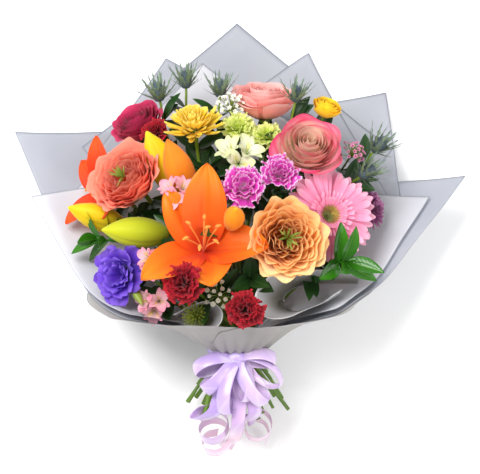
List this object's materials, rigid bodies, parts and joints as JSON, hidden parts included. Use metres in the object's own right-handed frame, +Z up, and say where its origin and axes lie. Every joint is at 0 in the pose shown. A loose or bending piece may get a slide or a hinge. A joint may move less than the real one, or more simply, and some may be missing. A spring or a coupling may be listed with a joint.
{
  "type": "garden rose bouquet",
  "caption": "Hand-tied bouquet of garden roses, lilies and mixed flowers in a flared film wrap, tied with a satin ribbon bow over spiralled green stems, lying on its back",
  "frame": {"origin": "middle of the bounding box's footprint, at the height of the table the bouquet lies on", "axes": "+Z up from the table; +Y from the cut stems towards the far tip of the wrap; +X to the right, seen from above with the stems nearest"},
  "size_m": [0.5184, 0.5136, 0.2171],
  "materials": {
    "peach_petal": "soft matt ruffled petals, cream at their edges, apricot in the folds",
    "coral_petal": "soft matt petals, orange-red in the folds, round a green eye",
    "pink_white_petal": "soft matt petals, creamy towards the heart with deep pink edges",
    "pale_pink_petal": "soft matt petals, salmon pink",
    "crimson_petal": "soft velvety petals, crimson",
    "orange_tepal": "satin orange tepals, redder in the throat",
    "scarlet_tepal": "satin scarlet tepals",
    "orange_bud": "satin orange bud",
    "yellow_bud": "satin yellow buds, greenish at their bases",
    "amber_bud": "satin amber bud",
    "pink_ray": "soft pink ray petals round a greenish eye",
    "yellow_petal": "soft yellow petals",
    "plum_petal": "soft plum-coloured petals",
    "violet_petal": "soft blue-violet petals",
    "magenta_petal": "frilled magenta petals with white markings",
    "red_petal": "frilled dark red petals",
    "lime_petal": "frilled lime green petals",
    "white_tepal": "soft greenish white tepals with dark streaks",
    "rose_tepal": "soft pink tepals with yellow patches and dark streaks",
    "sea_holly": "dry grey-blue thimbles and spiny green bracts",
    "white_blossom": "tiny white flowers on green stalks",
    "pink_blossom": "tiny pink flowers on green stalks",
    "goldenrod": "tiny olive yellow flower heads",
    "green_leaf": "glossy green leaves and smooth green stems",
    "white_film": "thin milky white matt film",
    "grey_film": "thin frosted pale grey film, slightly see-through",
    "lilac_ribbon": "satin ribbon, lilac",
    "pink_ribbon": "satin ribbon, lilac fading to pink"
  },
  "bodies": {
    "root": {"peach_garden_rose": "peach_petal", "coral_garden_rose": "coral_petal", "pink_white_rose": "pink_white_petal", "pale_pink_rose": "pale_pink_petal", "crimson_rose": "crimson_petal", "orange_lily": "orange_tepal", "scarlet_lily": "scarlet_tepal", "orange_lily_bud": "orange_bud", "yellow_lily_bud_far": "yellow_bud", "yellow_lily_bud_left": "yellow_bud", "yellow_lily_bud_low": "yellow_bud", "amber_lily_bud": "amber_bud", "pink_gerbera": "pink_ray", "yellow_chrysanthemum": "yellow_petal", "yellow_ranunculus": "yellow_petal", "purple_chrysanthemum": "plum_petal", "purple_lisianthus": "violet_petal", "magenta_carnation_left": "magenta_petal", "magenta_carnation_right": "magenta_petal", "red_carnation_left": "red_petal", "red_carnation_front": "red_petal", "crimson_carnation": "red_petal", "lime_carnation_left": "lime_petal", "lime_carnation_right": "lime_petal", "white_alstroemeria": "white_tepal", "pink_alstroemeria_far": "rose_tepal", "pink_alstroemeria_near": "rose_tepal", "pink_alstroemeria_low": "rose_tepal", "sea_holly_far_left": "sea_holly", "sea_holly_far_middle": "sea_holly", "sea_holly_far_right": "sea_holly", "sea_holly_middle": "sea_holly", "sea_holly_right": "sea_holly", "sea_holly_near_right": "sea_holly", "white_waxflower": "white_blossom", "gypsophila": "white_blossom", "pink_waxflower": "pink_blossom", "goldenrod": "goldenrod", "ruscus_right": "green_leaf", "ruscus_left": "green_leaf", "salal_front": "green_leaf", "salal_far": "green_leaf", "tissue_left": "white_film", "tissue_right": "white_film", "tissue_back": "white_film", "film_roll_left": "white_film", "film_roll_right": "white_film", "film_back_left": "grey_film", "film_back_right": "grey_film", "film_back": "grey_film", "film_right_upper": "grey_film", "film_left": "grey_film", "film_right": "grey_film", "collar_left": "grey_film", "collar_right": "grey_film", "ribbon_band": "lilac_ribbon", "ribbon_bow": "lilac_ribbon", "ribbon_tail_left": "pink_ribbon", "ribbon_tail_middle": "pink_ribbon", "ribbon_tail_right": "pink_ribbon"}
  },
  "joints": []
}
